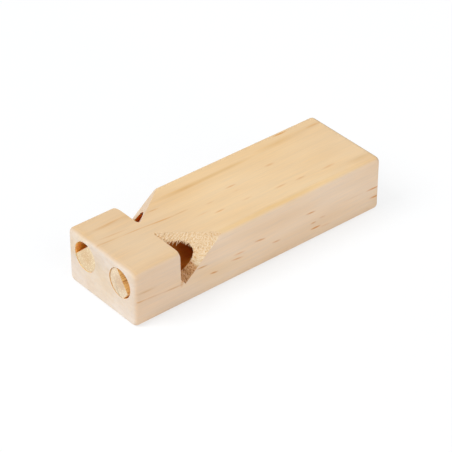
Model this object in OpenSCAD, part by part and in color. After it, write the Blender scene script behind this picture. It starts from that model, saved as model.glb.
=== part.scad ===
// Two-pipe wooden whistle: a block with two drilled pipes, a window cut across each
// upper long edge, and a dowel plug with one flat in each bore.
// The origin is the middle of the bottom face. +X runs from the mouth to the stopped end,
// +Y is the player's left, and +Z is up.

/* [Block] */
// Length of the block, from the mouth to the stopped end
block_l = 100; // [95:1:120]
// Width of the block across the two pipes
block_w = 33.3; // [31:0.1:38]
// Height of the block
block_h = 19.9; // [19:0.1:24]
// Radius sanded onto the four long edges
long_edge_r = 2; // [0.5:0.1:2.5]
// Radius sanded onto the edges at both ends
end_edge_r = 1.5; // [0.5:0.1:2]

/* [Pipes] */
// Diameter of the two drilled bores
bore_d = 10.2; // [9:0.1:11]
// Wood left between the bores and the top face
top_wall = 1.8; // [1.2:0.1:3]
// Wood left between the left bore and the left side
left_wall = 3.4; // [1.5:0.1:4]
// Wood left between the right bore and the right side
right_wall = 2.4; // [1.5:0.1:4]
// Full-width depth of the left bore from the mouth, the lower note
left_bore_depth = 86; // [60:1:90]
// Full-width depth of the right bore from the mouth, the higher note
right_bore_depth = 74; // [50:1:90]
// Length of the cone that the drill leaves at the end of a bore
drill_point_l = 2.5; // [1:0.1:4]

/* [Windows] */
// Distance from the mouth to the square front wall of both windows
lip_x = 17.6; // [14:0.1:22]
// Depth of the windows below the corner at the foot of the ramp, on the side face
window_depth = 8.8; // [7:0.1:9.5]
// Tilt of the left window across the corner, from the horizontal
left_window_tilt = 45.5; // [38:0.5:50]
// Tilt of the right window across the corner, from the horizontal
right_window_tilt = 43; // [38:0.5:50]
// Rise of both floors from the foot of the ramp to the front wall
floor_rise = 1.8; // [0:0.1:3]
// Angle at which both floors fall from the side face to the top face
floor_skew = 4; // [0:0.5:6]
// Length of the left floor between the front wall and the ramp
left_floor_l = 2; // [0.5:0.1:3]
// Length of the right floor between the front wall and the ramp
right_floor_l = 1.7; // [0.5:0.1:3]
// Length of the left ramp along the block
left_ramp_l = 15.6; // [11:0.1:18]
// Length of the right ramp along the block
right_ramp_l = 14; // [11:0.1:18]

/* [Plugs] */
// Gap all round between a plug and its bore
plug_clearance = 0.1; // [0.05:0.01:0.2]
// Distance that the plugs sit back from the mouth face
plug_recess = 0.4; // [0.1:0.1:2]
// Distance from the left plug's axis to its flat
left_flat_h = 2.4; // [1:0.1:3.5]
// Distance from the right plug's axis to its flat
right_flat_h = 1.5; // [1:0.1:3.5]
// Slope that the left plug's flat faces, up from the side
left_flat_turn = 47; // [30:1:60]
// Slope that the right plug's flat faces, up from the side
right_flat_turn = 38; // [30:1:60]

/* [Hidden] */
$fn = 96;

// +1 is the left pipe and -1 the right pipe
left = 1;
right = -1;

// Overshoot of a cut past the face that it opens
cut_over = 1;

mouth_x = -block_l / 2;
bore_r = bore_d / 2;
bore_z = block_h - top_wall - bore_r;
plug_r = bore_r - plug_clearance;
plug_l = lip_x - plug_recess;

pine = [0.91, 0.80, 0.64];
dowel = [0.93, 0.84, 0.66];

function side_wall(side) = side == left ? left_wall : right_wall;
function bore_y(side) = side * (block_w / 2 - side_wall(side) - bore_r);

// Rectangle with round corners, centred
module rounded_rect(w, h, r) {
  square([w - 2 * r, h], center = true);
  square([w, h - 2 * r], center = true);
  for (x = [-1, 1], y = [-1, 1])
    translate([x * (w / 2 - r), y * (h / 2 - r)])
      circle(r);
}

// Planed bar with all its edges sanded round, centred on the origin
module sanded_bar() {
  intersection() {
    rotate([90, 0, 90])
      linear_extrude(block_l, center = true)
        rounded_rect(block_w, block_h, long_edge_r);
    linear_extrude(block_h, center = true)
      rounded_rect(block_l, block_w, end_edge_r);
    rotate([90, 0, 0])
      linear_extrude(block_w, center = true)
        rounded_rect(block_l, block_h, end_edge_r);
  }
}

// Blind hole drilled in from the mouth, with the drill's cone at its end
module bore_cut(side, depth) {
  translate([mouth_x, bore_y(side), bore_z])
    rotate([0, 90, 0]) {
      translate([0, 0, -cut_over])
        cylinder(h = depth + cut_over, r = bore_r);
      translate([0, 0, depth])
        cylinder(h = drill_point_l, r1 = bore_r, r2 = 0);
    }
}

// Notch across an upper long edge: a square front wall, a ramp, and a short floor that slopes to
// the foot of the ramp. Depths are measured from the line where the top and the side would meet.
module window_cut(side, tilt, floor_l, ramp_l) {
  reach = block_w + block_h;
  meet_depth = window_depth * (ramp_l + floor_l) / ramp_l;
  top_l = (ramp_l + floor_l) * (meet_depth + cut_over) / meet_depth;
  translate([mouth_x + lip_x, side * block_w / 2, block_h])
    rotate([-side * tilt, 0, 0])
      difference() {
        rotate([90, 0, 0])
          linear_extrude(reach, center = true)
            polygon([[0, cut_over], [0, -meet_depth], [top_l, cut_over]]);
        translate([floor_l, side * window_depth * tan(tilt), -window_depth])
          rotate([side * floor_skew, atan(floor_rise / floor_l), 0])
            translate([-reach, -reach, -reach])
              cube([2 * reach, 2 * reach, reach]);
      }
}

// Dowel that closes a bore as far as the window and leaves a windway over its flat
module plug(side, flat_h, flat_turn) {
  translate([mouth_x + plug_recess, bore_y(side), bore_z])
    rotate([-side * (90 - flat_turn), 0, 0])
      difference() {
        rotate([0, 90, 0])
          cylinder(h = plug_l, r = plug_r);
        translate([-cut_over, -bore_d, flat_h])
          cube([plug_l + 2 * cut_over, 2 * bore_d, bore_d]);
      }
}

module block() {
  color(pine)
    difference() {
      translate([0, 0, block_h / 2])
        sanded_bar();
      bore_cut(left, left_bore_depth);
      bore_cut(right, right_bore_depth);
      window_cut(left, left_window_tilt, left_floor_l, left_ramp_l);
      window_cut(right, right_window_tilt, right_floor_l, right_ramp_l);
    }
}

module left_plug() {
  color(dowel)
    plug(left, left_flat_h, left_flat_turn);
}

module right_plug() {
  color(dowel)
    plug(right, right_flat_h, right_flat_turn);
}

block();
left_plug();
right_plug();
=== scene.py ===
import math
import random

import bpy
from mathutils import Matrix, Vector, noise


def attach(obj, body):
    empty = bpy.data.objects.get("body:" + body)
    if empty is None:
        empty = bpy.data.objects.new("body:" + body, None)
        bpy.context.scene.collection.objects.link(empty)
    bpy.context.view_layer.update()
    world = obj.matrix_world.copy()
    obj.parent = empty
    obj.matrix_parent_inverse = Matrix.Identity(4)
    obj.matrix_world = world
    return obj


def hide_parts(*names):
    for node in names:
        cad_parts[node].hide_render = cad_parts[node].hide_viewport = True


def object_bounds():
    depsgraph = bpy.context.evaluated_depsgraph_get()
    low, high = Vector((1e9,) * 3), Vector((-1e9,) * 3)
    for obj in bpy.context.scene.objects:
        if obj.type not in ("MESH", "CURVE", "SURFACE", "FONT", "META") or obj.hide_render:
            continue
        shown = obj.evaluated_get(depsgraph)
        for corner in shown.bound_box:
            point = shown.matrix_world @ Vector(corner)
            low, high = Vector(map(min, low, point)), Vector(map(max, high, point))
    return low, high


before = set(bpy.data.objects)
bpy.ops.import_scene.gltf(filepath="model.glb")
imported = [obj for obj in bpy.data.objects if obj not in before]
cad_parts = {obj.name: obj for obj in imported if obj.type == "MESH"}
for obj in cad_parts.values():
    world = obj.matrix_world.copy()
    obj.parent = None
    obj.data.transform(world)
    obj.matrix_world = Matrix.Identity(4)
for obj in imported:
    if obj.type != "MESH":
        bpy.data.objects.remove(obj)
cadLow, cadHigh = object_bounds()
mm = 0.001
hair = 0.01  # tolerance in mm, where edges and faces are picked by their place
left, right = 1, -1  # the player's left pipe is on +Y
sideName = {left: "Left", right: "Right"}

# Sizes shared by the block and its plugs, as in the CAD source
pipes = {
    "boreRadius": 5.1,
    "topWall": 1.8,
    "sideWall": {left: 3.4, right: 2.4},
    "depth": {left: 86.0, right: 74.0},
    "drillPoint": 2.5,
    "rimWear": 0.03,  # the drill's entry edge is sanded off this much
    "steps": 128,  # round the bore
    "lengths": 40,  # along it
}
windows = {
    "lip": 17.6,  # behind the mouth
    "depth": 8.8,  # of the foot of the ramp, below the corner
    "rise": 1.8,  # of the short floor, from the foot of the ramp to the lip
    "skew": math.radians(4),  # fall of the floor, from the side face to the top face
    "tilt": {left: math.radians(45.5), right: math.radians(43)},
    "floor": {left: 2.0, right: 1.7},
    "ramp": {left: 15.6, right: 14.0},
    "over": 1.0,  # how far a tool runs past the wood
    "across": (-11.0, 11.5),  # reach of the cut along its floor line
    "clear": 3.0,  # how far the cutter stands out of the corner
}
mouthX = cadLow.x / mm
rightY, leftY = cadLow.y / mm, cadHigh.y / mm
bottomZ, topZ = cadLow.z / mm, cadHigh.z / mm


def clamp(value, low=0.0, high=1.0):
    return min(max(value, low), high)


def boreAxis(side):
    y = side * (leftY - pipes["sideWall"][side] - pipes["boreRadius"])
    return Vector((mouthX, y, topZ - pipes["topWall"] - pipes["boreRadius"]))


def windowFrame(side):
    # Corner above the lip, the direction up the floor line to the top face,
    # and the direction out of the wood
    tilt = windows["tilt"][side]
    corner = Vector((mouthX + windows["lip"], side * leftY, topZ))
    toTop = Vector((0, -side * math.cos(tilt), math.sin(tilt)))
    outward = Vector((0, side * math.sin(tilt), math.cos(tilt)))
    return corner, toTop, outward


def rampFrame(side):
    # Foot of the ramp below the corner, the direction up the ramp, and the direction out of it
    corner, toTop, outward = windowFrame(side)
    foot = corner + Vector((windows["floor"][side], 0, 0)) - windows["depth"] * outward
    uphill = (Vector((windows["ramp"][side], 0, 0)) + windows["depth"] * outward).normalized()
    lift = (outward - outward.dot(uphill) * uphill).normalized()
    return foot, uphill, lift


def woodDepth(side, across):
    # Depth of the top face, or of the side face, below the corner
    slope = math.tan(windows["tilt"][side])
    return across * slope if across > 0 else -across / slope


def rampDepth(side, behind):
    return windows["depth"] * (1 - (behind - windows["floor"][side]) / windows["ramp"][side])


def cutDepth(side, behind, across):
    # Depth of the clean cut below the corner, at a distance behind the lip and across the corner
    floor, rise = windows["floor"][side], windows["rise"]
    sideEnd = -windows["depth"] * math.tan(windows["tilt"][side])
    fall = math.tan(windows["skew"]) * math.hypot(floor, rise) / floor
    onFloor = windows["depth"] - rise * (floor - behind) / floor + fall * (across - sideEnd)
    return min(rampDepth(side, behind), onFloor)


def windowSpot(side, behind, across, depth):
    corner, toTop, outward = windowFrame(side)
    return corner + Vector((behind, 0, 0)) + across * toTop - depth * outward


def clearSelection():
    bpy.ops.object.select_all(action="DESELECT")


def setMode(mode):
    bpy.ops.object.mode_set(mode=mode)


def takeNew(name):
    piece = bpy.context.object
    piece.name = name
    piece.data.name = name
    bpy.ops.object.transform_apply(location=True, rotation=True, scale=True)
    return piece


def pickEdges(piece, test):
    # Selects edges by their middle and their run, in mm, and leaves the piece in edit mode
    setMode("EDIT")
    bpy.ops.mesh.select_mode(type="EDGE")
    bpy.ops.mesh.select_all(action="DESELECT")
    setMode("OBJECT")
    mesh = piece.data
    for edge in mesh.edges:
        start, end = (mesh.vertices[i].co / mm for i in edge.vertices)
        edge.select = test((start + end) / 2, end - start)
    setMode("EDIT")


def pull(offset):
    bpy.ops.mesh.extrude_region_move(TRANSFORM_OT_translate={"value": Vector(offset) * mm})


def useModifier(piece, kind, **settings):
    bpy.context.view_layer.objects.active = piece
    modifier = piece.modifiers.new(kind.lower(), kind)
    for name, value in settings.items():
        setattr(modifier, name, value)
    bpy.ops.object.modifier_apply(modifier=modifier.name)


def carve(piece, tool):
    useModifier(
        piece, "BOOLEAN", object=tool, operation="DIFFERENCE", solver="MANIFOLD",
        material_mode="TRANSFER")
    bpy.data.objects.remove(tool)


def joinAll(pieces):
    # Joins the pieces into the first
    clearSelection()
    for piece in pieces:
        piece.select_set(True)
    bpy.context.view_layer.objects.active = pieces[0]
    bpy.ops.object.join()


def linear(hexColour):
    # The sRGB curve, undone
    parts = [int(hexColour[i:i + 2], 16) / 255 for i in (1, 3, 5)]
    parts = [c / 12.92 if c <= 0.04045 else ((c + 0.055) / 1.055) ** 2.4 for c in parts]
    return (*parts, 1.0)


def newMaterial(name):
    material = bpy.data.materials.new(name)
    material.use_nodes = True
    material.node_tree.nodes.clear()
    return material, material.node_tree


def addNode(tree, kind, settings, inputs, output=0):
    # "stops" are the places and colours of a colour ramp, "From" and "To" are both ends of a range,
    # and a tuple of outputs gives a list
    node = tree.nodes.new("ShaderNode" + kind)
    for name, value in settings.items():
        if name == "stops":
            elements = node.color_ramp.elements
            while len(elements) < len(value):
                elements.new(1.0)
            for element, (position, colour) in zip(elements, value):
                element.position = position
                element.color = linear(colour)
        else:
            setattr(node, name, value)
    for key, value in inputs.items():
        if key in ("From", "To"):
            node.inputs[key + " Min"].default_value, node.inputs[key + " Max"].default_value = value
        elif isinstance(value, bpy.types.NodeSocket):
            tree.links.new(value, node.inputs[key])
        else:
            node.inputs[key].default_value = value
    if isinstance(output, tuple):
        return [node.outputs[name] for name in output]
    return node.outputs[output] if node.outputs else node


# Grain sizes in mm: length along the grain, width across it, noise detail
grain = {
    "fibre": (9.0, 0.5, 2.0),
    "streak": (46.0, 1.6, 3.0),
    "cloud": (34.0, 9.0, 1.0),
    "wander": (16.0, 5.0, 1.0),
}
grainRoughness = 0.55
noiseSpan = (0.25, 0.75)  # most of a noise lies between these
smoothly = {"interpolation_type": "SMOOTHSTEP"}
multiply = {"operation": "MULTIPLY"}


def surface(tree):
    # Place in mm, and the direction that the surface faces
    spot, facing = addNode(tree, "TexCoord", {}, {}, ("Object", "Normal"))
    place = addNode(tree, "VectorMath", {"operation": "SCALE"}, {0: spot, "Scale": 1 / mm})
    return place, facing


def grainNoises(tree, place):
    noises = {}
    for name, (along, across, detail) in grain.items():
        shrunk = addNode(tree, "Mapping", {}, {
            "Vector": place, "Scale": (1 / along, 1 / across, 1 / across)})
        noises[name] = addNode(tree, "TexNoise", {}, {
            "Vector": shrunk, "Scale": 1.0, "Detail": detail, "Roughness": grainRoughness})
    return noises


def swing(tree, value, amount, middle):
    # A noise as a factor that goes this far to either side of its middle
    return addNode(tree, "MapRange", {}, {
        "Value": value, "From": noiseSpan, "To": (middle - amount, middle + amount)})


def tintBy(tree, colour, strength, tint):
    return addNode(tree, "MixRGB", {"blend_type": "MULTIPLY"}, {
        "Fac": strength, "Color1": colour, "Color2": linear(tint)})


def addMarks(tree, place, marks):
    # Each mark is a thin ellipsoid in the wood: its middle, half length, half width,
    # turn on its face in degrees, and strength
    total = 0.0
    for x, y, z, halfLength, halfWidth, turn, strength in marks:
        lying = z in (bottomZ, topZ)
        tilt = (0, 0, math.radians(turn)) if lying else (0, -math.radians(turn), 0)
        inMark = addNode(tree, "Mapping", {"vector_type": "TEXTURE"}, {
            "Vector": place, "Location": (x, y, z), "Rotation": tilt,
            "Scale": (halfLength, halfWidth, halfWidth)})
        ball = addNode(tree, "TexGradient", {"gradient_type": "SPHERICAL"}, {"Vector": inMark}, "Fac")
        total = addNode(tree, "Math", {"operation": "MULTIPLY_ADD"}, {0: ball, 1: strength, 2: total})
    return total


def finishWood(tree, wood, colour, height, more):
    # wood is the material's dictionary, and more is what else its shader takes
    strength, depth = wood["relief"]
    relief = addNode(tree, "Bump", {}, {
        "Strength": strength, "Distance": depth * mm, "Height": height})
    shader = addNode(tree, "BsdfPrincipled", {}, {
        "Base Color": colour, "Normal": relief, "Roughness": wood["roughness"],
        "Specular IOR Level": wood["gloss"], **more})
    addNode(tree, "OutputMaterial", {}, {"Surface": shader})


# Planed and sanded pine: pale cream with soft growth bands, thin reddish growth lines and short
# resin canals. The flat-sawn top is yellower, the sides are pinker and the end grain is palest.
pine = {
    "top": "#f3d7af",
    "side": "#f1d9c0",
    "end": "#e3d8cf",
    "warmth": "#f6ead8",  # each tint from here on darkens the ground that it lies on
    "leftward": "#fefaf3",
    # painted shade towards the mouth
    "mouthward": "#f5f4f8",
    # painted shade on the rounded end edges, and the grey of the mouth's patches
    "rubbed": "#f4f4f5",
    "farward": "#fbfafb",
    "band": "#eee4ce",
    "line": "#eac48e",
    "canal": "#e8ba86",
    "fibre": "#fdf6e6",
    "edge": "#f9efd6",
    "endLine": "#f4e8d8",
    "leftSpan": (0.0, 9.0),  # where the top turns yellower, across it
    "mouthSpan": (-8.0, -36.0),  # where painted shade darkens the wood, towards the mouth
    "mouthShare": 0.5,  # how much of that the sides take
    "farSpan": (28.0, 46.0),  # where the top turns duller again, towards the stopped end
    "sideTurn": (0.25, 0.7),  # each turn is a span of the squared normal: here from the top to a side
    "endTurnTop": (0.06, 0.85),  # from the top to an end
    "endTurnSide": (0.3, 0.95),  # from a side to an end
    # spans of the painted shade on the rounded end edges
    "edgeShadeFrom": (0.02, 0.12),
    "edgeShadeTo": (0.75, 0.42),
    "edgeShadeUp": (0.1, 0.4),
    "bandSpan": (14.5, 9.5),  # in the tilted ring direction, where the growth bands come in
    "bandOnEnd": (1.0, 0.3),  # their strength, from the long faces to the end grain
    "ringSlope": -0.4,
    "ringWidth": 1.9,
    "endGrain": (30.0, 2.6, 1.1),  # size of a patch of end grain: along, across and up
    "markWander": 0.3,  # the marks wander by this share of what the rings do
    "swings": {  # how far each goes to either side, and its middle
        "wander": (0.6, 0.0),  # in mm
        "layers": (0.17, 0.18),
        "streaks": (0.5, 1.0),
        "bands": (0.4, 1.0),
        "canals": (0.4, 1.5),
        "lines": (0.4, 1.2),
        "cloud": (0.35, 0.2),
        "fibre": (0.25, 0.25),
        "fibreTone": (0.045, 1.0),
        "streakTone": (0.025, 1.0),
        "endGrain": (0.3, 0.1),
    },
    "relief": (0.25, 0.03),  # strength, and depth in mm
    "roughness": 0.62,
    "roughSwing": 0.06,
    "gloss": 0.35,
}

# Broad soft bands on the top and the right side, then a few on the other faces
bandMarks = [
    (-40.0, 9.4, topZ, 12.0, 1.3, 0.0, 0.3),
    (-9.0, 9.9, topZ, 16.0, 1.3, 0.0, 0.95),
    (8.0, 10.05, topZ, 13.0, 1.2, 0.4, 0.85),
    (30.0, 11.1, topZ, 13.0, 1.9, 2.0, 0.6),
    (44.0, 11.4, topZ, 8.0, 1.2, 1.0, 0.45),
    (45.0, -12.6, topZ, 7.0, 1.8, -2.0, 0.5),
    (-46.0, rightY, 12.3, 5.5, 0.75, -2.0, 0.55),
    (8.0, rightY, 7.0, 32.0, 2.4, -1.0, 0.22),
    (-6.0, leftY, 14.0, 30.0, 0.9, 1.0, 0.7),
    (26.0, leftY, 10.5, 22.0, 0.8, -1.5, 0.6),
    (-36.0, leftY, 6.0, 12.0, 0.8, 1.5, 0.7),
    (4.0, -6.0, bottomZ, 34.0, 1.1, 0.6, 0.75),
    (-18.0, 5.0, bottomZ, 26.0, 0.9, -1.2, 0.6),
    (28.0, 11.0, bottomZ, 18.0, 0.9, 0.8, 0.6),
]

# Thin growth lines: along the mouth half of the top, and along the right side
# from the mouth past the window
lineMarks = [
    (-40.0, 9.7, topZ, 7.5, 0.45, 0.0, 0.38),
    (-41.5, 9.2, topZ, 6.0, 0.36, -1.0, 0.25),
    (-42.5, 4.3, topZ, 6.5, 0.42, -5.4, 0.42),
    (-46.0, 2.5, topZ, 6.0, 0.42, -4.5, 0.52),
    (-35.5, 1.6, topZ, 7.0, 0.4, -4.5, 0.45),
    (-26.0, 0.7, topZ, 7.5, 0.42, -4.6, 0.63),
    (-18.5, 0.3, topZ, 3.5, 0.38, -3.0, 0.45),
    (-24.9, 6.65, topZ, 2.8, 0.4, -4.0, 0.6),
    (-9.0, 9.65, topZ, 7.0, 0.45, 0.0, 0.15),
    (34.0, 14.55, topZ, 3.8, 0.46, -1.0, 1.0),
    (46.5, 11.6, topZ, 4.4, 0.65, 1.0, 0.38),
    (-49.0, rightY, 9.45, 3.5, 0.42, -3.0, 0.72),
    (-43.0, rightY, 9.1, 5.5, 0.38, -3.5, 0.48),
    (-35.5, rightY, 8.5, 4.8, 0.44, -3.5, 0.8),
    (-24.2, rightY, 11.0, 2.8, 0.4, -4.0, 1.25),
    (-46.0, rightY, 12.2, 4.0, 0.34, -2.0, 0.3),
    (39.0, rightY, 9.3, 6.0, 0.36, -1.5, 0.25),
    (-32.0, rightY, 9.0, 2.0, 0.85, 80.0, 0.62),
    (26.5, rightY, 3.9, 3.2, 0.4, -3.0, 0.35),
    (-16.0, leftY, 9.0, 14.0, 0.4, 1.0, 0.6),
    (20.0, leftY, 5.0, 11.0, 0.38, -1.5, 0.6),
    (-26.0, 9.0, bottomZ, 15.0, 0.4, 0.8, 0.6),
    (16.0, -11.0, bottomZ, 13.0, 0.4, -0.8, 0.6),
]

# Yellower heartwood along the upper right corner, on the mouth and below the right window
edgeMarks = [
    (8.0, -15.4, topZ, 50.0, 1.9, 0.0, 0.95),
    (mouthX, 0.0, 9.0, 4.0, 11.0, 0.0, 0.55),
    (mouthX, 9.5, 18.5, 4.0, 6.0, 0.0, 0.7),
    (mouthX, 14.8, 13.5, 4.0, 4.5, 0.0, 0.8),
    (mouthX, 2.5, 13.2, 4.0, 4.0, 0.0, 0.3),
    (-49.8, -15.6, 18.8, 2.5, 2.5, 0.0, 0.45),
    (-20.0, rightY, 7.5, 18.0, 4.5, -5.0, 0.6),
    (-33.0, 9.3, topZ, 2.5, 2.0, 0.0, 0.5),
    (49.5, -16.0, 5.0, 3.0, 5.0, 0.0, 0.45),
]

# Greyer patches on the mouth, below its upper edge and at its left, in the grey of the painted edge
# shade
mouthGreyMarks = [
    (mouthX, 0.0, 18.0, 5.0, 7.0, 0.0, 0.65),
    (mouthX, 14.0, 10.0, 5.0, 6.0, 0.0, 0.45),
    (mouthX, -1.0, 15.2, 3.0, 1.5, 0.0, 0.3),
    (mouthX, 2.4, 16.4, 3.0, 1.3, 0.0, 0.2),
    (mouthX, 5.0, 18.9, 3.0, 2.4, 0.0, 0.75),
    (mouthX, 2.5, 13.2, 3.0, 4.0, 0.0, 0.45),
]

# Resin canals, cut open as short dashes
canalMarks = [
    (2.3, 1.45, topZ, 2.6, 0.46, -1.0, 0.46),
    (2.2, -1.5, topZ, 2.0, 0.4, 0.0, 0.12),
    (19.6, 2.9, topZ, 2.4, 0.68, -1.0, 0.31),
    (-8.5, -1.4, topZ, 2.0, 0.4, 0.0, 0.25),
    (-9.0, -6.85, topZ, 2.6, 0.44, 1.0, 0.52),
    (-14.0, -4.6, topZ, 3.5, 0.45, 0.0, 0.16),
    (1.8, -7.0, topZ, 2.4, 0.48, 0.0, 0.21),
    (14.5, -8.5, topZ, 3.0, 0.54, 0.0, 0.36),
    (22.3, -9.1, topZ, 2.6, 0.52, 0.0, 0.36),
    (33.6, -9.75, topZ, 3.4, 0.6, 0.8, 0.29),
    (-0.9, rightY, 10.7, 2.8, 0.44, -7.0, 0.85),
    (-9.3, rightY, 9.4, 2.8, 0.42, -2.0, 0.42),
    (-10.2, rightY, 7.7, 3.0, 0.42, -5.0, 0.6),
    (-19.5, rightY, 6.7, 2.1, 0.44, -7.0, 0.9),
    (5.8, rightY, 7.15, 2.2, 0.42, -3.0, 0.7),
    (20.2, rightY, 11.4, 2.6, 0.42, -5.0, 0.85),
    (21.4, rightY, 7.0, 1.6, 0.4, 0.0, 0.8),
    (25.2, rightY, 7.65, 1.8, 0.38, -4.0, 0.42),
    (22.4, rightY, 4.75, 2.6, 0.4, -2.0, 1.35),
    (47.0, rightY, 8.95, 3.6, 0.42, -2.0, 1.15),
    (48.0, rightY, 5.6, 2.8, 0.44, -3.0, 1.05),
    (-12.0, leftY, 8.0, 2.4, 0.42, 0.0, 0.8),
    (9.0, leftY, 12.2, 2.0, 0.4, 2.0, 0.7),
    (31.0, leftY, 6.2, 2.2, 0.42, -2.0, 0.8),
    (-41.0, leftY, 11.5, 2.0, 0.4, 0.0, 0.6),
    (-20.0, -9.0, bottomZ, 2.4, 0.42, 0.0, 0.7),
    (12.0, 3.0, bottomZ, 2.2, 0.4, 0.0, 0.6),
    (36.0, -3.5, bottomZ, 2.6, 0.42, 0.0, 0.7),
    (-38.0, 8.0, bottomZ, 2.2, 0.4, 0.0, 0.6),
]


def makePlanedPine():
    material, tree = newMaterial("planedPine")
    place, facing = surface(tree)
    noises = grainNoises(tree, place)
    swings = pine["swings"]
    wander = swing(tree, noises["wander"], *swings["wander"])
    shift = addNode(tree, "CombineXYZ", {}, {"Y": wander, "Z": wander})
    bent = addNode(tree, "VectorMath", {"operation": "ADD"}, {0: place, 1: shift})
    ring = addNode(tree, "VectorMath", {"operation": "DOT_PRODUCT"}, {
        0: bent, 1: (0.0, pine["ringSlope"], 1.0)}, "Value")

    # The ground colour follows the way that a face looks, and the place along and across the block
    squared = addNode(tree, "VectorMath", multiply, {0: facing, 1: facing})
    endOn, sideOn, topOn = addNode(tree, "SeparateXYZ", {}, {0: squared}, ("X", "Y", "Z"))
    long = addNode(tree, "Math", {"operation": "ADD"}, {0: sideOn, 1: topOn})
    sideways = addNode(tree, "Math", {"operation": "DIVIDE"}, {0: sideOn, 1: long})
    sideways = addNode(tree, "MapRange", smoothly, {"Value": sideways, "From": pine["sideTurn"]})
    endTop = addNode(tree, "MapRange", {}, {"Value": endOn, "From": pine["endTurnTop"]})
    endSide = addNode(tree, "MapRange", {}, {"Value": endOn, "From": pine["endTurnSide"]})
    endways = addNode(tree, "MixRGB", {}, {"Fac": sideways, "Color1": endTop, "Color2": endSide})
    x, y = addNode(tree, "SeparateXYZ", {}, {0: place}, ("X", "Y"))
    leftward, mouthward, farward = (
        addNode(tree, "MapRange", smoothly, {"Value": value, "From": pine[span]})
        for value, span in ((y, "leftSpan"), (x, "mouthSpan"), (x, "farSpan")))
    lessMouthward = addNode(tree, "Math", multiply, {0: mouthward, 1: pine["mouthShare"]})
    notMouth = addNode(tree, "Math", {"operation": "SUBTRACT"}, {0: 1.0, 1: lessMouthward})
    leftward = addNode(tree, "Math", multiply, {0: leftward, 1: notMouth})
    top = tintBy(tree, linear(pine["top"]), leftward, pine["leftward"])
    # Painted shade, darker towards the mouth: on the top, and by a share on the sides
    top = tintBy(tree, top, mouthward, pine["mouthward"])
    top = tintBy(tree, top, farward, pine["farward"])
    flank = tintBy(tree, linear(pine["side"]), lessMouthward, pine["mouthward"])
    colour = addNode(tree, "MixRGB", {}, {"Fac": sideways, "Color1": top, "Color2": flank})
    colour = addNode(tree, "MixRGB", {}, {
        "Fac": endways, "Color1": colour, "Color2": linear(pine["end"])})

    # Painted shade: the rounded edges between the top and the ends are dulled with grey, against the
    # highlight that the lamps put on them
    rounded = 1.0
    for value, span in ((endOn, "edgeShadeFrom"), (endOn, "edgeShadeTo"), (topOn, "edgeShadeUp")):
        share = addNode(tree, "MapRange", {}, {"Value": value, "From": pine[span]})
        rounded = addNode(tree, "Math", multiply, {0: rounded, 1: share})
    rubbed = addNode(tree, "Math", {"operation": "MAXIMUM"}, {
        0: rounded, 1: addMarks(tree, place, mouthGreyMarks)})

    # Growth bands: slightly browner below the ring height, in soft layers that fade on the end grain
    banded = addNode(tree, "MapRange", smoothly, {"Value": ring, "From": pine["bandSpan"]})
    layer = addNode(tree, "Math", {"operation": "DIVIDE"}, {0: ring, 1: pine["ringWidth"]})
    layers = addNode(tree, "TexNoise", {"noise_dimensions": "1D"}, {
        "W": layer, "Scale": 1.0, "Detail": 2.0})
    onEnd = addNode(tree, "MapRange", {}, {"Value": endways, "To": pine["bandOnEnd"]})
    fadings = (
        swing(tree, layers, *swings["layers"]),
        swing(tree, noises["streak"], *swings["streaks"]),
        onEnd,
    )
    for fading in fadings:
        banded = addNode(tree, "Math", multiply, {0: banded, 1: fading})

    # Marks that wander a little, broken up by the fibres
    markShift = addNode(tree, "VectorMath", {"operation": "SCALE"}, {
        0: shift, "Scale": pine["markWander"]})
    marked = addNode(tree, "VectorMath", {"operation": "ADD"}, {0: place, 1: markShift})
    bands = addNode(tree, "Math", {"operation": "MULTIPLY_ADD"}, {
        0: addMarks(tree, marked, bandMarks), 1: swing(tree, noises["fibre"], *swings["bands"]),
        2: banded})
    lines, canals = (
        addNode(tree, "Math", {**multiply, "use_clamp": True}, {
            0: addMarks(tree, marked, marks), 1: swing(tree, noises["fibre"], *swings[name])})
        for name, marks in (("lines", lineMarks), ("canals", canalMarks)))
    layersOfTone = (
        (rubbed, "rubbed"),
        (swing(tree, noises["cloud"], *swings["cloud"]), "warmth"),
        (swing(tree, noises["fibre"], *swings["fibre"]), "fibre"),
        (bands, "band"),
        (lines, "line"),
        (canals, "canal"),
        (addMarks(tree, marked, edgeMarks), "edge"),
    )
    for strength, tint in layersOfTone:
        colour = tintBy(tree, colour, strength, pine[tint])

    tone = addNode(tree, "Math", multiply, {
        0: swing(tree, noises["fibre"], *swings["fibreTone"]),
        1: swing(tree, noises["streak"], *swings["streakTone"])})
    colour = addNode(tree, "VectorMath", {"operation": "SCALE"}, {0: colour, "Scale": tone})
    crossCut = addNode(tree, "Mapping", {}, {
        "Vector": bent, "Scale": [1 / size for size in pine["endGrain"]]})
    endGrain = addNode(tree, "TexNoise", {}, {"Vector": crossCut, "Scale": 1.0, "Detail": 3.0})
    endGrain = addNode(tree, "Math", multiply, {
        0: swing(tree, endGrain, *swings["endGrain"]), 1: endways})
    colour = tintBy(tree, colour, endGrain, pine["endLine"])
    roughness = swing(tree, noises["fibre"], pine["roughSwing"], pine["roughness"])
    finishWood(tree, pine, colour, noises["fibre"], {"Roughness": roughness})
    return material


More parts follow.
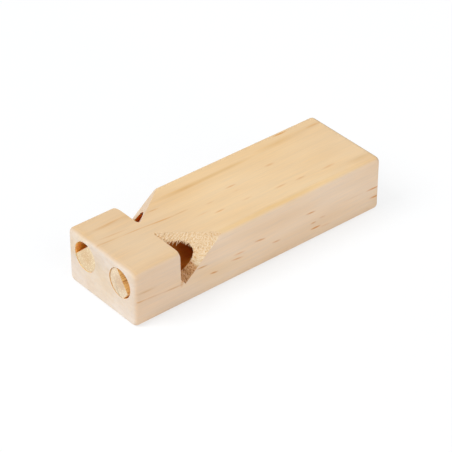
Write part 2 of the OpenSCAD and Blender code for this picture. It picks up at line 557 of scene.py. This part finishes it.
# Tear-out on the ramps, in mm: fibres swept in arcs about a whorl beside the tip of the hole
tear = {
    "step": 0.12,  # of the cutter's mesh
    "wallSteps": 28,  # rows of it up the lip's wall
    "whorl": (0.7, 9.8),  # across and up the ramp from its foot
    "hole": (-0.2, -0.97),  # direction from the whorl to the hole, where the arcs may start and end
    "arcRadius": 5.0,
    "lean": (0.53, 0.85),  # direction of the leaning fibres, across and up the ramp
    "leanFrom": (1.5, 4.0),  # across the ramp, where they take over from the arcs
    "layers": {  # kind, width, length and height of the fibres
        right: (
            ("swept", 0.42, 1.1, 0.136), ("swept", 0.2, 0.6, 0.072),
            ("plain", 0.3, 0.3, 0.088), ("plain", 2.2, 2.6, 0.08)),
        left: (("plain", 0.5, 1.4, 0.064), ("plain", 0.25, 0.4, 0.04)),
    },
    "apart": 10.0,  # between the noises of two layers
    "lipFade": 0.5,  # the tearing comes in over this distance behind the lip
    "lipWear": {left: (1.0, 1.3, 1.3), right: (0.3, 8.0, 1.3)},  # amount, reach to the side and top
    "lipProud": {left: 0.0, right: 0.12},  # how far the front wall stands past its saw cut
    "wearFade": 2.0,
    "lipEase": 0.06,  # rounding of the lip's edge
    "easeOver": 2.0,  # above the wood the cutter leans back by up to this many times it
    "overLip": 0.4,  # how far the cutter's wall goes above the wood
    "rampWear": {left: 0.15, right: 0.4},
    "wearReach": 1.2,
    "leastDepth": 0.1,  # of the ramp, where its width is measured
    "chip": {left: 0.0, right: 1.05},  # wood broken out beside the top face, most at the ramp's top
    "chipReach": 5.9,
    "chipCurl": 6.0,
    "fill": {left: 0.6, right: 0.2},  # fibres left standing beside the top face, most at the lip
    "fillReach": 5.0,
    "fillCurl": 10.0,
}

# Pine torn across the grain by the cutter: cream fibre ends and tan hollows in swept streaks,
# and below the hole a cleaner cut with open pores, tinted browner: partly its own colour, partly
# painted shade where the lip's shadow falls
torn = {
    right: {"low": "#d0a26a", "mid": "#e2c69f", "high": "#f0ddc4"},
    left: {"low": "#d6b996", "mid": "#e2cab0", "high": "#e8d6c0"},
    "streak": (0.42, 1.4),  # width and length of a streak
    "speck": 0.4,
    "speckShare": 0.42,
    "span": (0.32, 0.68),  # the part of the noise that goes from low to high
    # the foot's tint, partly painted shade in the lip's shadow
    "foot": "#f6dbc4",
    "footSlant": 0.27,
    "footEnd": (4.4, 3.5),  # up the ramp, more towards the side face
    "footHeight": (14.6, 13.8),
    "pore": "#b58a64",
    "poreSize": (0.26, 0.9),  # up and across the ramp
    "poreSpan": (0.5, 0.66),
    "relief": (0.4, 0.06),
    "roughness": 0.8,
    "gloss": 0.2,
}


def makeTornPine(side):
    material, tree = newMaterial("tornPine" + sideName[side])
    place = surface(tree)[0]
    foot, uphill = rampFrame(side)[:2]
    toTop = windowFrame(side)[1]
    tones = torn[side]
    whorl = foot + tear["whorl"][0] * toTop + tear["whorl"][1] * uphill
    fromWhorl = addNode(tree, "VectorMath", {"operation": "SUBTRACT"}, {0: place, 1: whorl})

    def alongside(direction, size):
        # Distance from the whorl along a direction, in units of a size
        return addNode(tree, "VectorMath", {"operation": "DOT_PRODUCT"}, {
            0: fromWhorl, 1: direction / size}, "Value")

    def fibreNoise(across, length):
        spot = addNode(tree, "CombineXYZ", {}, {"X": across, "Y": length})
        return addNode(tree, "TexNoise", {}, {"Vector": spot, "Scale": 1.0, "Detail": 2.0})

    # Arcs about the whorl, then leaning fibres beside the top face
    width, length = torn["streak"]
    away = -(tear["hole"][0] * toTop + tear["hole"][1] * uphill)
    beside = tear["hole"][0] * uphill - tear["hole"][1] * toTop
    reach = addNode(tree, "VectorMath", {"operation": "LENGTH"}, {0: fromWhorl}, "Value")
    rings = addNode(tree, "Math", {"operation": "DIVIDE"}, {0: reach, 1: width})
    turn = addNode(tree, "Math", {"operation": "ARCTAN2"}, {
        0: alongside(beside, 1), 1: alongside(away, 1)})
    sweep = addNode(tree, "Math", multiply, {0: turn, 1: tear["arcRadius"] / length})
    leanAlong = tear["lean"][0] * toTop + tear["lean"][1] * uphill
    leanAcross = tear["lean"][1] * toTop - tear["lean"][0] * uphill
    leaning = addNode(tree, "MapRange", {}, {
        "Value": alongside(toTop, 1), "From": [end - tear["whorl"][0] for end in tear["leanFrom"]]})
    streaks = addNode(tree, "MixRGB", {}, {
        "Fac": leaning, "Color1": fibreNoise(rings, sweep),
        "Color2": fibreNoise(alongside(leanAcross, width), alongside(leanAlong, length))})
    specks = addNode(tree, "TexNoise", {}, {
        "Vector": place, "Scale": 1 / torn["speck"], "Detail": 2.0})
    mixed = addNode(tree, "MixRGB", {}, {
        "Fac": torn["speckShare"], "Color1": streaks, "Color2": specks})
    high = addNode(tree, "MapRange", {}, {"Value": mixed, "From": torn["span"]})
    colour = addNode(tree, "ValToRGB", {
        "stops": ((0.0, tones["low"]), (0.5, tones["mid"]), (1.0, tones["high"]))}, {"Fac": high})

    # The cleaner cut at the foot, with its pores in rows across the ramp; its browner tint is partly
    # painted shade
    slanted = uphill + torn["footSlant"] * toTop
    fromFoot = (whorl - foot).dot(slanted)
    nearFoot = addNode(tree, "MapRange", {}, {
        "Value": alongside(slanted, 1), "From": [end - fromFoot for end in torn["footEnd"]]})
    height = addNode(tree, "SeparateXYZ", {}, {0: place}, "Z")
    belowHole = addNode(tree, "MapRange", {}, {"Value": height, "From": torn["footHeight"]})
    footCutAndShade = addNode(tree, "Math", multiply, {0: nearFoot, 1: belowHole})
    colour = tintBy(tree, colour, footCutAndShade, torn["foot"])
    poreUp, poreAcross = torn["poreSize"]
    pores = fibreNoise(alongside(uphill, poreUp), alongside(toTop, poreAcross))
    pores = addNode(tree, "MapRange", {}, {"Value": pores, "From": torn["poreSpan"]})
    pores = addNode(tree, "Math", multiply, {0: pores, 1: footCutAndShade})
    colour = tintBy(tree, colour, pores, torn["pore"])
    finishWood(tree, torn, colour, specks, {})
    return material


# Pine cut by a twist drill, with lines along the grain: pale at the mouth, and orange-brown further in,
# which is painted shade of the deep bore.
# The stops are depths in mm from the mouth.
drilled = {
    # painted shade, darker and more orange with depth; the left bore's deeper stops are paler, painted
    # light on its shaded far wall
    right: ((0.0, "#eccb94"), (0.6, "#eab266"), (3.5, "#f6b660"), (12.0, "#eea346")),
    left: ((0.0, "#f4dcae"), (0.6, "#fbce82"), (3.5, "#fdc464"), (12.0, "#fdb54e")),
    "line": "#e8b070",
    "lineSwing": (0.3, 0.25),
    "glow": {left: 0.38, right: 0.0},  # share of light that comes through the thin walls
    "glowReach": (2.2, 1.3, 0.2),  # of red, green and blue, in mm
    "relief": (0.4, 0.05),
    "roughness": 0.75,
    "gloss": 0.05,
}


def makeDrilledPine(side):
    material, tree = newMaterial("drilledPine" + sideName[side])
    place = surface(tree)[0]
    noises = grainNoises(tree, place)
    reach = drilled[side][-1][0]
    along = addNode(tree, "SeparateXYZ", {}, {0: place}, "X")
    inside = addNode(tree, "MapRange", {}, {"Value": along, "From": (mouthX, mouthX + reach)})
    colour = addNode(tree, "ValToRGB", {
        "stops": [(depth / reach, tone) for depth, tone in drilled[side]]}, {"Fac": inside})
    lined = swing(tree, noises["fibre"], *drilled["lineSwing"])
    colour = tintBy(tree, colour, lined, drilled["line"])
    finishWood(tree, drilled, colour, noises["fibre"], {
        "Subsurface Weight": drilled["glow"][side], "Subsurface Scale": mm,
        "Subsurface Radius": drilled["glowReach"]})
    return material


# Birch dowel, sawn off: tan end grain crowded with pale pores, darker at the heart,
# browner along its length
dowelWood = {
    left: {"ground": "#dac29d", "heart": "#f8efe6"},
    right: {"ground": "#ddc9ad", "heart": "#efe4dc"},
    "heartSpan": (4.2, 1.0),  # distance from the axis, over which the heart comes in
    "pore": "#f3e5c7",
    "poreWidth": 0.62,
    "poreScatter": 0.8,
    "poreSpan": (0.5, 0.1),
    "length": "#f9d084",
    "line": "#b06a26",
    "lineSwing": (0.8, 0.1),
    "endTurn": (0.3, 0.7),  # span of the normal, from the length to the end
    "relief": (0.35, 0.05),
    "roughness": 0.66,
    "gloss": 0.3,
}

# A dark crack along the right dowel's flat
crackMarks = [(-45.0, -10.34, 13.91, 9.0, 0.45, 0.0, 1.1)]


def makeDowel(side):
    material, tree = newMaterial("sawnDowel" + sideName[side])
    place, facing = surface(tree)
    noises = grainNoises(tree, place)
    fromAxis = addNode(tree, "VectorMath", {"operation": "SUBTRACT"}, {0: place, 1: boreAxis(side)})
    flat = addNode(tree, "VectorMath", multiply, {0: fromAxis, 1: (0.0, 1.0, 1.0)})
    radius = addNode(tree, "VectorMath", {"operation": "LENGTH"}, {0: flat}, "Value")
    heart = addNode(tree, "MapRange", smoothly, {"Value": radius, "From": dowelWood["heartSpan"]})
    pores = addNode(tree, "TexVoronoi", {}, {
        "Vector": flat, "Scale": 1 / dowelWood["poreWidth"], "Randomness": dowelWood["poreScatter"]})
    pores = addNode(tree, "MapRange", {}, {"Value": pores, "From": dowelWood["poreSpan"]})
    end = addNode(tree, "MixRGB", {}, {
        "Fac": pores, "Color1": linear(dowelWood[side]["ground"]), "Color2": linear(dowelWood["pore"])})
    end = tintBy(tree, end, heart, dowelWood[side]["heart"])
    lined = addNode(tree, "Math", {"operation": "ADD", "use_clamp": True}, {
        0: swing(tree, noises["fibre"], *dowelWood["lineSwing"]), 1: addMarks(tree, place, crackMarks)})
    along = addNode(tree, "MixRGB", {}, {
        "Fac": lined, "Color1": linear(dowelWood["length"]), "Color2": linear(dowelWood["line"])})
    endways = addNode(tree, "SeparateXYZ", {}, {0: facing}, "X")
    endways = addNode(tree, "Math", {"operation": "ABSOLUTE"}, {0: endways})
    endways = addNode(tree, "MapRange", {}, {"Value": endways, "From": dowelWood["endTurn"]})
    colour = addNode(tree, "MixRGB", {}, {"Fac": endways, "Color1": along, "Color2": end})
    finishWood(tree, dowelWood, colour, pores, {})
    return material


planedPine = makePlanedPine()
drilledPine = {side: makeDrilledPine(side) for side in (left, right)}
tornPine = {side: makeTornPine(side) for side in (left, right)}
print("materials ready")

# The bar and the drills are divided along their length, so that the windows leave no long slivers
bar = {
    "longRound": 2.0,
    "longSteps": 9,
    "endRound": 1.5,
    "endSteps": 7,
    "lengthCuts": 49,
    "smoothUnder": math.radians(35),
    "flatWeight": 100,  # large faces lead the shading
}


def makeBar():
    clearSelection()
    bpy.ops.mesh.primitive_cube_add(size=1, location=(cadLow + cadHigh) / 2, scale=cadHigh - cadLow)
    piece = takeNew("pine_block")
    piece.data.materials.append(planedPine)
    pickEdges(piece, lambda middle, run: abs(run.x) > hair)
    bpy.ops.mesh.subdivide(number_cuts=bar["lengthCuts"])
    setMode("OBJECT")
    pickEdges(piece, lambda middle, run: abs(run.x) > hair)
    bpy.ops.mesh.bevel(offset=bar["longRound"] * mm, segments=bar["longSteps"], affect="EDGES")
    setMode("OBJECT")
    pickEdges(piece, lambda middle, run: abs(abs(middle.x) + mouthX) < hair and abs(run.x) < hair)
    bpy.ops.mesh.bevel(offset=bar["endRound"] * mm, segments=bar["endSteps"], affect="EDGES")
    setMode("OBJECT")
    return piece


def makeDrill(side):
    clearSelection()
    axis = boreAxis(side)
    radius, wear, over = pipes["boreRadius"], pipes["rimWear"], windows["over"]
    start = axis - Vector((over, 0, 0))
    bpy.ops.mesh.primitive_circle_add(
        vertices=pipes["steps"], radius=(radius + wear) * mm, fill_type="NGON",
        location=start * mm, rotation=(0, math.pi / 2, 0))
    tool = takeNew("drill")
    tool.data.materials.append(drilledPine[side])
    setMode("EDIT")
    bpy.ops.mesh.select_all(action="SELECT")
    pull((over, 0, 0))
    pull((wear, 0, 0))
    shrink = radius / (radius + wear)
    bpy.ops.transform.resize(value=(1, shrink, shrink), center_override=axis * mm)
    for length in range(pipes["lengths"]):
        pull(((pipes["depth"][side] - wear) / pipes["lengths"], 0, 0))
    pull((pipes["drillPoint"], 0, 0))
    bpy.ops.mesh.merge(type="CENTER")
    bpy.ops.mesh.select_all(action="SELECT")
    bpy.ops.mesh.normals_make_consistent(inside=False)
    setMode("OBJECT")
    return tool


def cornerWear(side, across):
    # How far the lip is rubbed back at the corner, from where its saw cut stands
    amount, downSide, overTop = tear["lipWear"][side]
    rubbed = amount * math.exp(-(across / (overTop if across > 0 else downSide)) ** 2)
    return rubbed - tear["lipProud"][side]


def tornHeight(side, behind, across):
    # Height of the torn fibres above the cut, swept in arcs about the whorl or plain
    along = (behind - windows["floor"][side]) * math.hypot(1, windows["depth"] / windows["ramp"][side])
    toHole = Vector(tear["hole"]).normalized()
    fromWhorl = Vector((across, along)) - Vector(tear["whorl"])
    turn = math.atan2(toHole.cross(fromWhorl), -toHole.dot(fromWhorl))
    lean = Vector(tear["lean"])
    leanStart, leanEnd = tear["leanFrom"]
    leaning = clamp((across - leanStart) / (leanEnd - leanStart))
    height = 0.0
    for index, (kind, width, length, amount) in enumerate(tear["layers"][side]):
        layer = tear["apart"] * index
        if kind == "swept":
            slanted = layer + tear["apart"] / 2
            arc = (fromWhorl.length / width, turn * tear["arcRadius"] / length, layer)
            slant = (lean.cross(fromWhorl) / width, lean.dot(fromWhorl) / length, slanted)
            bump = (1 - leaning) * noise.noise(Vector(arc)) + leaning * noise.noise(Vector(slant))
        else:
            bump = noise.noise(Vector((across / width, along / length, layer)))
        height += amount * bump
    return height


def tornDepth(side, behind, across):
    # Depth of the finished surface: the clean cut, worn at the corner, chipped out at the top and torn
    depth = cutDepth(side, behind, across)
    slope = math.tan(windows["tilt"][side])
    onRamp = max(rampDepth(side, behind), tear["leastDepth"])
    toTopFace = clamp((across + onRamp * slope) / (onRamp / slope + onRamp * slope))
    upRamp = max(behind - windows["floor"][side], 0.0)
    worn = tear["rampWear"][side] * math.exp(-(depth / tear["wearReach"]) ** 2)
    chipped = tear["chip"][side] * (1 - math.exp(-upRamp / tear["chipReach"]))
    chipped *= toTopFace ** tear["chipCurl"]
    filled = tear["fill"][side] * math.exp(-upRamp / tear["fillReach"])
    filled *= toTopFace ** tear["fillCurl"]
    settled = clamp(behind / tear["lipFade"])
    return depth - filled + settled * (worn + chipped - tornHeight(side, behind, across))


def makeCutter(side):
    clearSelection()
    corner, toTop, outward = windowFrame(side)
    step, wall = tear["step"], tear["wallSteps"] * tear["step"]
    low, high = windows["across"]
    end = windows["floor"][side] + windows["ramp"][side] * (1 + windows["over"] / windows["depth"])
    bpy.ops.mesh.primitive_grid_add(
        x_subdivisions=int((high - low) / step), y_subdivisions=int((end + wall) / step),
        size=1, location=((low + high) / 2, (end - wall) / 2, 0))
    bpy.context.object.scale = (high - low, end + wall, 1)
    tool = takeNew("window_cutter")
    tool.data.materials.append(tornPine[side])
    tool.data.materials.append(planedPine)
    for point in tool.data.vertices:
        across, run = point.co.x, point.co.y
        worn = cornerWear(side, across)
        if run > 0:
            behind = run - worn * max(0.0, 1 - run / tear["wearFade"])
            depth = tornDepth(side, behind, across)
        else:
            # Up the lip's wall and past the wood's surface, in rows that lie closer towards the top
            base = cutDepth(side, -worn, across)
            top = min(woodDepth(side, across) - tear["overLip"], base - tear["overLip"])
            depth = top + (base - top) * (1 + run / wall) ** 2
            above = (depth - woodDepth(side, across)) / tear["lipEase"]
            behind = -worn - tear["lipEase"] * clamp(1 - above, 0.0, tear["easeOver"])
        point.co = windowSpot(side, behind, across, depth) * mm
    setMode("EDIT")
    bpy.ops.mesh.select_mode(type="EDGE")
    bpy.ops.mesh.select_all(action="DESELECT")
    bpy.ops.mesh.select_non_manifold()
    pull(outward)
    setMode("OBJECT")
    level = corner.dot(outward) + windows["clear"]
    for point in tool.data.vertices:
        if point.select:
            point.co += outward * (level * mm - point.co.dot(outward))
    setMode("EDIT")
    bpy.ops.mesh.edge_face_add()
    bpy.ops.mesh.select_all(action="SELECT")
    bpy.ops.mesh.normals_make_consistent(inside=False)
    setMode("OBJECT")
    for face in tool.data.polygons:
        onLip = face.center.x / mm < corner.x + hair
        face.material_index = 1 if onLip else 0
    return tool


# Fibres left standing round the hole's upper edge and on the ramp above it, in mm.
# A place round the hole is an angle about the bore, from its crown towards the top face.
splinters = {
    "tip": 0.05,
    "sides": 7,
    "cuts": 2,
    "bow": 0.12,
    "teeth": 44,
    "teethRound": (-46.0, 82.0),
    "teethRise": -0.12,  # slope out of the ramp
    "teethThick": (0.14, 0.28),
    "teethLong": (1.0, 2.1),
    "teethShort": (0.15, 0.5),
    "longFrom": (-8.0, 30.0),  # angles over which the teeth grow from short to long
    "loose": 14,
    "looseRound": (-20.0, 76.0),
    "looseRise": 0.1,
    "looseThick": (0.08, 0.15),
    "looseLength": (0.6, 1.5),
    "looseOut": (0.9, 2.6),  # distance from the hole's edge
    "stray": 0.3,
    "root": 0.3,
    "sunk": 0.6,  # depth of the root in the ramp, as a share of the thickness
    "highest": 19.2,  # no root lies above this
    "lipGap": 0.2,  # or nearer than this to the lip
    "edgeTries": 6,
    "seed": 11,
}


def holeEdge(side, angle):
    # Place behind the lip, and across the corner, where the torn ramp opens the bore
    corner, toTop, outward = windowFrame(side)
    fromCorner = boreAxis(side) - corner
    across = fromCorner.dot(toTop) + pipes["boreRadius"] * math.sin(angle)
    depth = -fromCorner.dot(outward) - pipes["boreRadius"] * math.cos(angle)
    steep = windows["depth"] / windows["ramp"][side]
    behind = windows["floor"][side]
    for attempt in range(splinters["edgeTries"]):
        behind += (tornDepth(side, behind, across) - depth) / steep
        behind = clamp(behind, splinters["lipGap"], windows["ramp"][side])
    return behind, across


def makeSplinter():
    # One fibre, 1 mm long and of 1 mm radius, bowed a little
    clearSelection()
    thickest = splinters["teethThick"][1]
    bpy.ops.mesh.primitive_cone_add(
        vertices=splinters["sides"], radius1=mm, radius2=splinters["tip"] / thickest * mm,
        depth=mm, location=(0, 0, mm / 2))
    piece = takeNew("splinter")
    piece.data.materials.append(tornPine[right])
    pickEdges(piece, lambda middle, run: abs(run.z) > hair)
    bpy.ops.mesh.subdivide(number_cuts=splinters["cuts"])
    setMode("OBJECT")
    for point in piece.data.vertices:
        reach = point.co.z / mm
        point.co.x += splinters["bow"] / thickest * math.sin(math.pi * reach) * mm
    return piece


def drawSplinters():
    # Each fibre's root behind the lip and across the corner, its heading, rise, length and thickness
    draw = random.Random(splinters["seed"])
    low, high = splinters["longFrom"]
    places = []
    for kind in ("teeth", "loose"):
        first, last = splinters[kind + "Round"]
        for index in range(splinters[kind]):
            degrees = first + (last - first) * (index + draw.random()) / splinters[kind]
            angle = math.radians(degrees)
            longer = clamp((degrees - low) / (high - low))
            behind, across = holeEdge(right, angle)
            inward = -Vector((math.sin(angle), math.cos(angle)))
            if kind == "teeth":
                out = splinters["root"]
                short, long = (draw.uniform(*splinters["teeth" + name]) for name in ("Short", "Long"))
                length = short + (long - short) * longer
            else:
                out = draw.uniform(*splinters["looseOut"])
                length = draw.uniform(*splinters["looseLength"])
            heading = inward * (1 - longer) - Vector(tear["lean"]) * longer
            heading.x += draw.uniform(-1, 1) * splinters["stray"]
            thick = draw.uniform(*splinters[kind + "Thick"])
            behind -= out * inward.y
            across -= out * inward.x
            places.append((behind, across, heading, splinters[kind + "Rise"], length, thick))
    return places


def makeSplinters():
    foot, uphill, lift = rampFrame(right)
    toTop = windowFrame(right)[1]
    shape = makeSplinter()
    copies = []
    for behind, across, leaning, rising, length, thick in drawSplinters():
        root = windowSpot(right, behind, across, tornDepth(right, behind, across))
        if root.z > splinters["highest"]:
            continue
        heading = (leaning.x * toTop + leaning.y * uphill + rising * lift).normalized()
        turn = heading.to_track_quat("Z", "X").to_matrix().to_4x4()
        size = Matrix.Diagonal((thick, thick, length, 1))
        start = Matrix.Translation((root - thick * splinters["sunk"] * lift) * mm)
        copy = shape.copy()
        copy.data = shape.data.copy()
        copy.data.transform(start @ turn @ size)
        bpy.context.scene.collection.objects.link(copy)
        copies.append(copy)
    bpy.data.objects.remove(shape)
    return copies


block = makeBar()
print("bar rounded")
for side in (left, right):
    carve(block, makeDrill(side))
    print("bore drilled", side)
for side in (left, right):
    carve(block, makeCutter(side))
    print("window cut", side)
joinAll([block, *makeSplinters()])
print("fibres raised")
bpy.ops.object.shade_smooth_by_angle(angle=bar["smoothUnder"])
useModifier(block, "WEIGHTED_NORMAL", keep_sharp=True, weight=bar["flatWeight"])
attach(block, "root")
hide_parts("block")
print("block", len(block.data.polygons), "faces")

plugs = {
    "clearance": 0.03,
    "sawn": {left: (0.25, 0.0, 0.1), right: (0.15, 0.14, 0.06)},  # recess, and more to the left and top
    "flat": {left: 2.4, right: 1.5},  # from the axis
    "turn": {left: math.radians(47), right: math.radians(38)},  # of the flat, up from the side face
    "chip": {right: (4.3, math.radians(-41), 0.5)},  # broken corner: reach, turn and slope
    "rim": 0.12,
    "rimSteps": 3,
    "rimSlant": 0.2,  # edges that run less than this along the dowel belong to a rim
    "smoothUnder": math.radians(40),
    "steps": 96,
}


def makePlug(side, name):
    clearSelection()
    axis = boreAxis(side)
    radius = pipes["boreRadius"] - plugs["clearance"]
    end = mouthX + windows["lip"]
    bpy.ops.mesh.primitive_cylinder_add(
        vertices=plugs["steps"], radius=radius * mm, depth=windows["lip"] * mm,
        location=Vector(((mouthX + end) / 2, axis.y, axis.z)) * mm, rotation=(0, math.pi / 2, 0))
    piece = takeNew(name)
    piece.data.materials.append(makeDowel(side))
    recess, toLeft, toTop = plugs["sawn"][side]
    cuts = [(axis + Vector((recess, 0, 0)), Vector((-1, toLeft / radius, toTop / radius)))]
    flats = [(plugs["flat"][side], plugs["turn"][side], 0.0)]
    if side in plugs["chip"]:
        flats.append(plugs["chip"][side])
    for reach, turn, slope in flats:
        facing = Vector((0, side * math.cos(turn), math.sin(turn)))
        cuts.append((axis + facing * reach, facing - Vector((slope, 0, 0))))
    for point, facing in cuts:
        setMode("EDIT")
        bpy.ops.mesh.select_all(action="SELECT")
        bpy.ops.mesh.bisect(plane_co=point * mm, plane_no=facing, use_fill=True, clear_outer=True)
        setMode("OBJECT")
    pickEdges(piece, lambda middle, run: abs(run.x) < plugs["rimSlant"] * run.length)
    bpy.ops.mesh.bevel(offset=plugs["rim"] * mm, segments=plugs["rimSteps"], affect="EDGES")
    setMode("OBJECT")
    bpy.ops.object.shade_smooth_by_angle(angle=plugs["smoothUnder"])
    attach(piece, "root")
    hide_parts("left_plug" if side == left else "right_plug")


makePlug(left, "left_dowel")
makePlug(right, "right_dowel")
print("plugs fitted")

# The floor is white paper. To the camera it glows, and keeps only a share of the light and shadow
# that fall on it. The share changes along the block, at places in mm.
stage = {
    "floorSize": 6.0,  # in metres
    "floorDrop": 0.02,  # below the block, in mm
    "floorColour": "#fafafa",
    "shadow": ((-50.0, 0.36), (40.0, 0.29), (62.0, 0.16)),
    "shade": (0.97, 1.0, 1.03),  # tint of that share
    "lit": 1.01,  # the floor's white
    "world": 0.39,  # strength of the light all round
    "white": (1, 1, 1, 1),
}


def makeFloor():
    clearSelection()
    bpy.ops.mesh.primitive_plane_add(
        size=stage["floorSize"], location=(0, 0, -stage["floorDrop"] * mm))
    floor = takeNew("floor")
    material, tree = newMaterial("paperSweep")
    seen = 0.0
    for ray in ("Is Camera Ray", "Is Glossy Ray", "Is Transmission Ray"):
        fromRay = addNode(tree, "LightPath", {}, {}, ray)
        seen = addNode(tree, "Math", {"operation": "MAXIMUM"}, {0: seen, 1: fromRay})
    paper = addNode(tree, "BsdfDiffuse", {}, {"Color": linear(stage["floorColour"])})
    along = addNode(tree, "SeparateXYZ", {}, {0: surface(tree)[0]}, "X")
    (nearX, near), (bendX, bend), (farX, far) = stage["shadow"]
    kept = addNode(tree, "MapRange", {}, {"Value": along, "From": (nearX, bendX), "To": (near, bend)})
    lost = addNode(tree, "MapRange", {}, {
        "Value": along, "From": (bendX, farX), "To": (0.0, bend - far)})
    kept = addNode(tree, "Math", {"operation": "SUBTRACT"}, {0: kept, 1: lost})
    shade = addNode(tree, "VectorMath", {"operation": "SCALE"}, {0: stage["shade"], "Scale": kept})
    shaded = addNode(tree, "BsdfDiffuse", {}, {"Color": shade})
    rest = addNode(tree, "Math", {"operation": "SUBTRACT"}, {0: stage["lit"], 1: kept})
    glow = addNode(tree, "Emission", {}, {"Color": stage["white"], "Strength": rest})
    lit = addNode(tree, "AddShader", {}, {0: shaded, 1: glow})
    mixed = addNode(tree, "MixShader", {}, {0: seen, 1: paper, 2: lit})
    addNode(tree, "OutputMaterial", {}, {"Surface": mixed})
    floor.data.materials.append(material)


def makeWorld():
    # White to the camera, and dimmer as a light
    world = bpy.data.worlds.new("studio")
    bpy.context.scene.world = world
    world.use_nodes = True
    tree = world.node_tree
    tree.nodes.clear()
    seen = addNode(tree, "LightPath", {}, {}, "Is Camera Ray")
    strength = addNode(tree, "MapRange", {}, {"Value": seen, "To": (stage["world"], 1.0)})
    glow = addNode(tree, "Background", {}, {"Color": stage["white"], "Strength": strength})
    addNode(tree, "OutputWorld", {}, {"Surface": glow})


# Soft boxes: direction to the lamp, distance and size in metres, power in watts
lamps = {
    "key": {"towards": (-0.64, 0.20, 0.74), "distance": 2.5, "size": 1.4, "power": 45.4},
    "fill": {"towards": (0.10, -0.85, 0.50), "distance": 1.4, "size": 1.2, "power": 5.3},
}


def makeLamp(name, settings):
    lamp = bpy.data.lights.new(name, "AREA")
    lamp.size = settings["size"]
    lamp.energy = settings["power"]
    holder = bpy.data.objects.new(name, lamp)
    bpy.context.scene.collection.objects.link(holder)
    towards = Vector(settings["towards"]).normalized()
    holder.location = towards * settings["distance"]
    holder.rotation_euler = towards.to_track_quat("Z", "Y").to_euler()


# The photo's camera: lengths in mm, angles in degrees
photoView = {
    "target": (-3.685, -3.468, 10.0),
    "azimuth": -39.997,
    "elevation": 35.194,
    "roll": 0.160,
    "distance": 677.52,
    "lens": 172.1,
    "sensor": 36.0,
}


def makeCamera():
    azimuth, elevation = math.radians(photoView["azimuth"]), math.radians(photoView["elevation"])
    level = math.cos(elevation)
    back = Vector((math.sin(azimuth) * level, -math.cos(azimuth) * level, math.sin(elevation)))
    lens = bpy.data.cameras.new("camera")
    lens.lens = photoView["lens"]
    lens.sensor_width = photoView["sensor"]
    holder = bpy.data.objects.new("camera", lens)
    bpy.context.scene.collection.objects.link(holder)
    holder.location = (Vector(photoView["target"]) + back * photoView["distance"]) * mm
    roll = Matrix.Rotation(math.radians(photoView["roll"]), 3, "Z")
    turn = (-back).to_track_quat("-Z", "Y").to_matrix() @ roll
    holder.rotation_euler = turn.to_euler()
    bpy.context.scene.camera = holder


makeFloor()
makeWorld()
for lampName, lampSettings in lamps.items():
    makeLamp(lampName, lampSettings)
makeCamera()
bpy.context.scene.view_settings.view_transform = "Standard"
print("stage lit")
